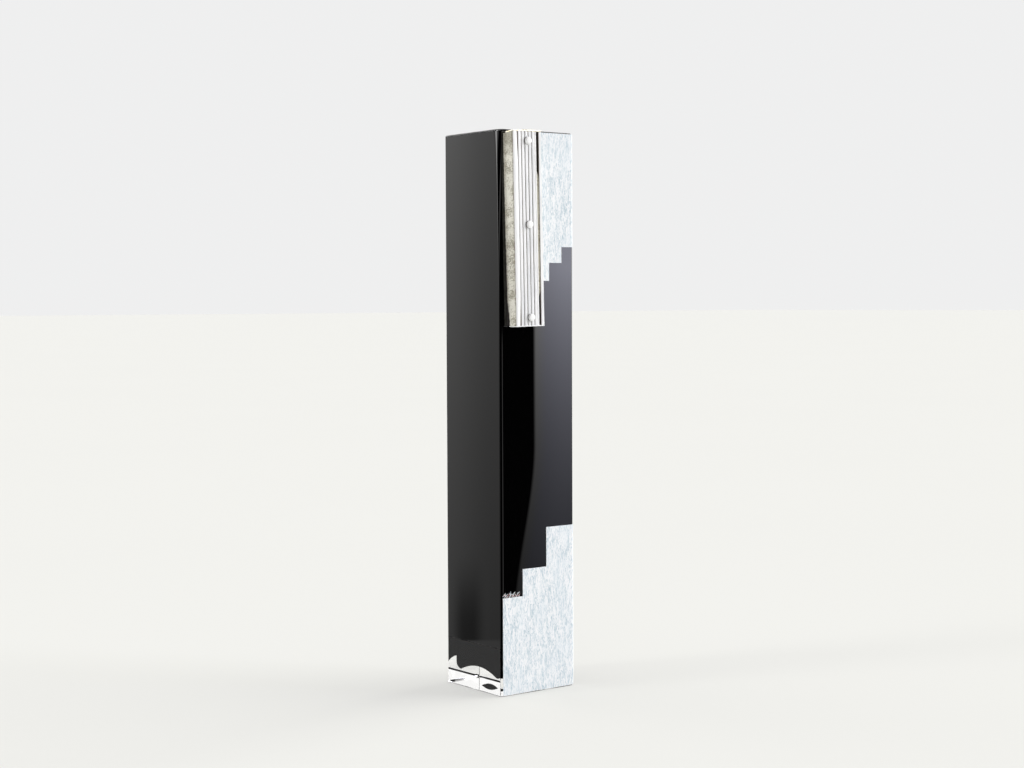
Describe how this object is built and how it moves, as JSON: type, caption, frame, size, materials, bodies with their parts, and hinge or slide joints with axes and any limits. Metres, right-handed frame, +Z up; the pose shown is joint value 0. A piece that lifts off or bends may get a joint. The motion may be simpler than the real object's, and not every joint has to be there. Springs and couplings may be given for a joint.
{
  "type": "block vase",
  "caption": "Tall square vase: black glass vessel cased in a clear glass block with a thick clear foot, stepped silver leaf fields and a ribbed, studded metal plaque.",
  "frame": {"origin": "centre of the square glass block's base, on the surface that it stands on", "axes": "+Z up along the block's height; the decorated face looks towards -Y; +X to the right of someone facing that face"},
  "size_m": [0.0511, 0.0578, 0.3054],
  "materials": {
    "clear_glass": "polished clear casing glass",
    "black_glass": "polished opaque black glass",
    "silver_leaf": "brushed and lacquered silver leaf",
    "cast_pewter": "sand cast, grey patina, wiped bright on the band",
    "adhesive": "cured resin adhesive",
    "polished_silver": "polished",
    "stud_silver": "bright polished domes",
    "gilt_brass": "worn gilding",
    "patinated_copper": "dark red-brown patina"
  },
  "bodies": {
    "root": {"clear_casing": "clear_glass", "black_core": "black_glass", "upper_leaf": "silver_leaf", "lower_leaf": "silver_leaf", "plaque_tray": "cast_pewter", "plaque_bed": "adhesive", "rib_1": "polished_silver", "rib_2": "polished_silver", "rib_3": "polished_silver", "rib_4": "polished_silver", "rib_5": "polished_silver", "flat_wire": "polished_silver", "top_plate": "gilt_brass", "bottom_plate": "polished_silver", "stud_top": "stud_silver", "stud_middle": "stud_silver", "stud_bottom": "stud_silver", "rim_strap": "patinated_copper"}
  },
  "joints": []
}
